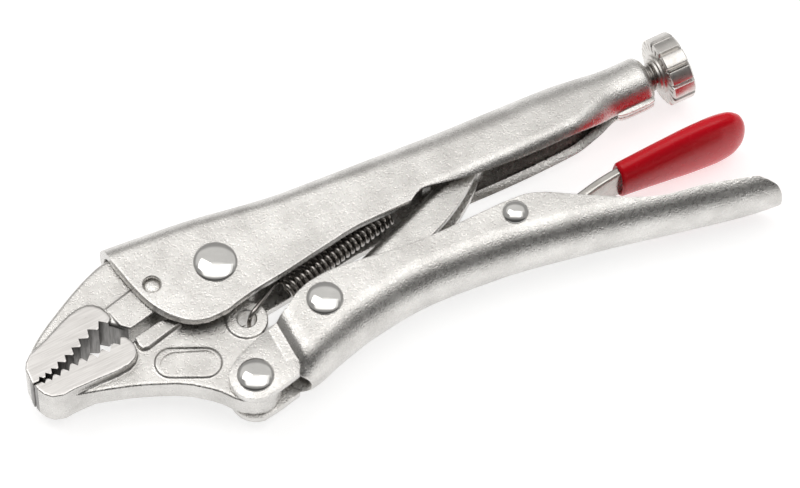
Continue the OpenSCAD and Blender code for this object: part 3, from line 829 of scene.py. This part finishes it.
def lever_grip():
    bm = bmesh.new()
    sides = 64
    xs = np.concatenate([np.linspace(69, 70.4, 9), np.linspace(71, 89, 34), np.linspace(89.5, 92.4, 14),
                         [92.6, 92.75, 92.86, 92.93, 92.97, 92.99]])
    rows = [[(69.5, -14.4 + 1.25 * math.sin(2 * math.pi * k / sides), 3.9 * math.cos(2 * math.pi * k / sides))
             for k in range(sides)]]
    for x in xs:
        w, t = float(smooth(GRIP_WIDTH, x)), float(smooth(GRIP_THICK, x))
        sag = 0.012 * max(x - 69, 0) ** 1.35
        row = []
        for k in range(sides):
            a = 2 * math.pi * k / sides
            c, s = math.cos(a), math.sin(a)
            row.append((x, -14.4 - sag + t * math.copysign(abs(s) ** 0.92, s), w * math.copysign(abs(c) ** 0.92, c)))
        rows.append(row)
    verts = grid_faces(bm, rows, closed=True)
    bm.faces.new(verts[0])
    bm.faces.new(verts[-1])
    return finish_piece(to_object("lever_grip_dipped", bm), "release_lever", "red_vinyl", VINYL,
                        replaces=("lever_grip",), angle=60)


# ---------------------------------------------------------------- return spring

def return_spring():
    start, end = np.array((9.3, -7.1)), np.array((31.5, -2.2))
    turns, steps, wire = 21, 24, 0.375
    length = np.linalg.norm(end - start)
    axis = (end - start) / length
    r = 2.0 - wire
    path = [(SPRING_LUG[0] + x, SPRING_LUG[1] + y, z) for x, y, z in (
        (0.5, -0.3, -3.4), (0.3, -0.3, -1), (0.3, -0.2, 1.4), (0.7, 0, 2.9), (1.5, 0.4, 3.4), (2.6, 1.0, 3.35),
        (4.6, 2.3, 2.75), (6.4, 3.6, 1.95), (7.6, 4.3, 1.35), (8.2, 4.7, 0.85))]
    for i in range(1, turns * steps):
        a = 2 * math.pi * i / steps
        s = length * i / (steps * turns)
        path.append((start[0] + axis[0] * s - axis[1] * r * math.cos(a),
                     start[1] + axis[1] * s + axis[0] * r * math.cos(a), r * math.sin(a)))
    path += [(ANCHOR[0] + x, ANCHOR[1] + y, z) for x, y, z in (
        (-6.8, -1.4, 0.5), (-5, -1.5, 0.9), (-3.8, -1.2, 0.7), (-2.6, -0.7, 0.3), (-1.4, -0.2, 0.1),
        (0, 0, 0), (1.4, 0, 0))]
    obj = to_object("return_spring_wire", sweep(path, wire, 12))
    finish_piece(obj, "upper_handle", "spring_steel", SPRING, replaces=("return_spring",), angle=70)
    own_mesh(obj)
    return obj


upper_handle()
fixed_jaw_pin()
fixed_jaw()
lower_jaw()
lower_handle()
toggle_link()
rivet("jaw_rivet_dome", JAW_PIVOT, 2.6, 3.7, HALF_W, "upper_handle", "jaw_rivet")
rivet("handle_rivet_dome", HANDLE_PIVOT, 2.1, 3.1, EAR_OUT, "lower_handle", "handle_rivet")
rivet("link_rivet_dome", LINK_PIVOT, 2.1, 3.1, HALF_W, "lower_handle", "link_rivet")
rivet("lever_rivet_dome", LEVER_PIVOT, 1.5, 2.2, HALF_W, "lower_handle", "lever_rivet")
adjusting_screw()
adjusting_knob()
release_lever()
lever_grip()
return_spring()


# ---------------------------------------------------------------- camera

def add_camera():
    data = bpy.data.cameras.new("camera")
    data.sensor_width = 36
    data.lens = VIEW_LENS
    data.clip_start, data.clip_end = 0.05, 40
    cam = bpy.data.objects.new("camera", data)
    bpy.context.scene.collection.objects.link(cam)
    target = Vector((VIEW_TARGET[0], VIEW_TARGET[1], MID_Z)) * MM
    far = Vector((math.sin(VIEW_TURN), math.cos(VIEW_TURN), 0))
    away = (-far * math.sin(VIEW_TILT) + Vector((0, 0, math.cos(VIEW_TILT)))).normalized()
    right = Vector((math.cos(VIEW_TURN), -math.sin(VIEW_TURN), 0))
    up = away.cross(right)
    turn = Matrix((right, up, away)).transposed() @ Matrix.Rotation(VIEW_ROLL, 3, "Z")
    cam.matrix_world = Matrix.Translation(target + away * VIEW_DISTANCE * MM) @ turn.to_4x4()
    bpy.context.scene.camera = cam


# ---------------------------------------------------------------- floor and light

def add_floor():
    mat, noise, spread, tint, bumps, drive, nodes, links = material("floor_paint", (0.6, 0.6, 0.6), 0.0, 0.9)
    shader = nodes["Principled BSDF"]
    shader.inputs["Specular IOR Level"].default_value = 0.05
    shader.inputs["Emission Color"].default_value = (1, 1, 1, 1)
    shader.inputs["Emission Strength"].default_value = 0.66
    drive("Base Color", tint(spread(noise(3), 0, 1), (0.595, 0.595, 0.595), (0.61, 0.61, 0.61)))
    bm = bmesh.new()
    bmesh.ops.create_grid(bm, x_segments=2, y_segments=2, size=6)
    mesh = bpy.data.meshes.new("floor")
    bm.to_mesh(mesh)
    bm.free()
    floor = new_object("floor", mesh)
    floor.data.materials.append(mat)


def add_world():
    """Plain studio: pale room, a broad panel overhead, a softer one behind, a dark front."""
    world = bpy.data.worlds.new("studio")
    bpy.context.scene.world = world
    world.use_nodes = True
    nodes, links = world.node_tree.nodes, world.node_tree.links
    direction = nodes.new("ShaderNodeTexCoord").outputs["Generated"]
    turned = nodes.new("ShaderNodeVectorRotate")
    turned.rotation_type = "Z_AXIS"
    turned.inputs["Angle"].default_value = VIEW_TURN
    links.new(direction, turned.inputs["Vector"])
    parts = nodes.new("ShaderNodeSeparateXYZ")
    links.new(turned.outputs["Vector"], parts.inputs["Vector"])

    def math_node(kind, a, b=None):
        n = nodes.new("ShaderNodeMath")
        n.operation = kind
        for socket, value in zip(n.inputs, (a, b)):
            if value is None:
                continue
            if isinstance(value, (int, float)):
                socket.default_value = value
            else:
                links.new(value, socket)
        return n.outputs[0]

    def ramp(value, start, end):
        n = nodes.new("ShaderNodeMapRange")
        n.interpolation_type = "SMOOTHSTEP"
        n.inputs["From Min"].default_value = math.radians(start)
        n.inputs["From Max"].default_value = math.radians(end)
        links.new(value, n.inputs["Value"])
        return n.outputs["Result"]

    back = math_node("ARCTAN2", parts.outputs["Y"], parts.outputs["Z"])
    across = math_node("ARCTAN2", parts.outputs["X"], parts.outputs["Z"])

    def window(v0, v1, u1, soft):
        """1 inside the panel from v0 to v1 degrees back of overhead and within u1 across."""
        v = math_node("MULTIPLY", ramp(back, v0 - soft, v0 + soft), ramp(math_node("MULTIPLY", back, -1), -v1 - soft, -v1 + soft))
        u = ramp(math_node("MULTIPLY", math_node("ABSOLUTE", across), -1), -u1 - soft, -u1 + soft)
        return math_node("MULTIPLY", v, u)

    def over(base, value, mask):
        """base where mask is 0, value where it is 1."""
        keep = math_node("MULTIPLY", base, math_node("SUBTRACT", 1.0, mask))
        return math_node("ADD", keep, math_node("MULTIPLY", mask, value))

    light = over(0.40, 0.1, window(-84, -30, 88, 7))
    light = over(light, 0.8, window(21, 58, 50, 6))
    light = over(light, 1.6, window(-16, 20, 30, 5))
    links.new(light, nodes["Background"].inputs["Strength"])
    nodes["Background"].inputs["Color"].default_value = (1.0, 0.99, 0.975, 1)


def add_lights():
    """Soft fill for the floor and the shapes; neither lamp is seen by the camera."""
    for name, at, size, watts in (("key", (-0.5, 0.9, 1.9), 0.9, 5), ("fill", (0.9, -0.3, 2.0), 1.2, 3)):
        data = bpy.data.lights.new(name, "AREA")
        data.shape = "SQUARE"
        data.size = size
        data.energy = watts
        lamp = bpy.data.objects.new(name, data)
        bpy.context.scene.collection.objects.link(lamp)
        lamp.location = at
        lamp.rotation_mode = "QUATERNION"
        lamp.rotation_quaternion = Vector(at).to_track_quat("Z", "Y")
        lamp.visible_camera = False


add_camera()
add_floor()
add_world()
add_lights()
bpy.context.scene.view_settings.view_transform = "Standard"
bpy.context.scene.view_settings.look = "None"
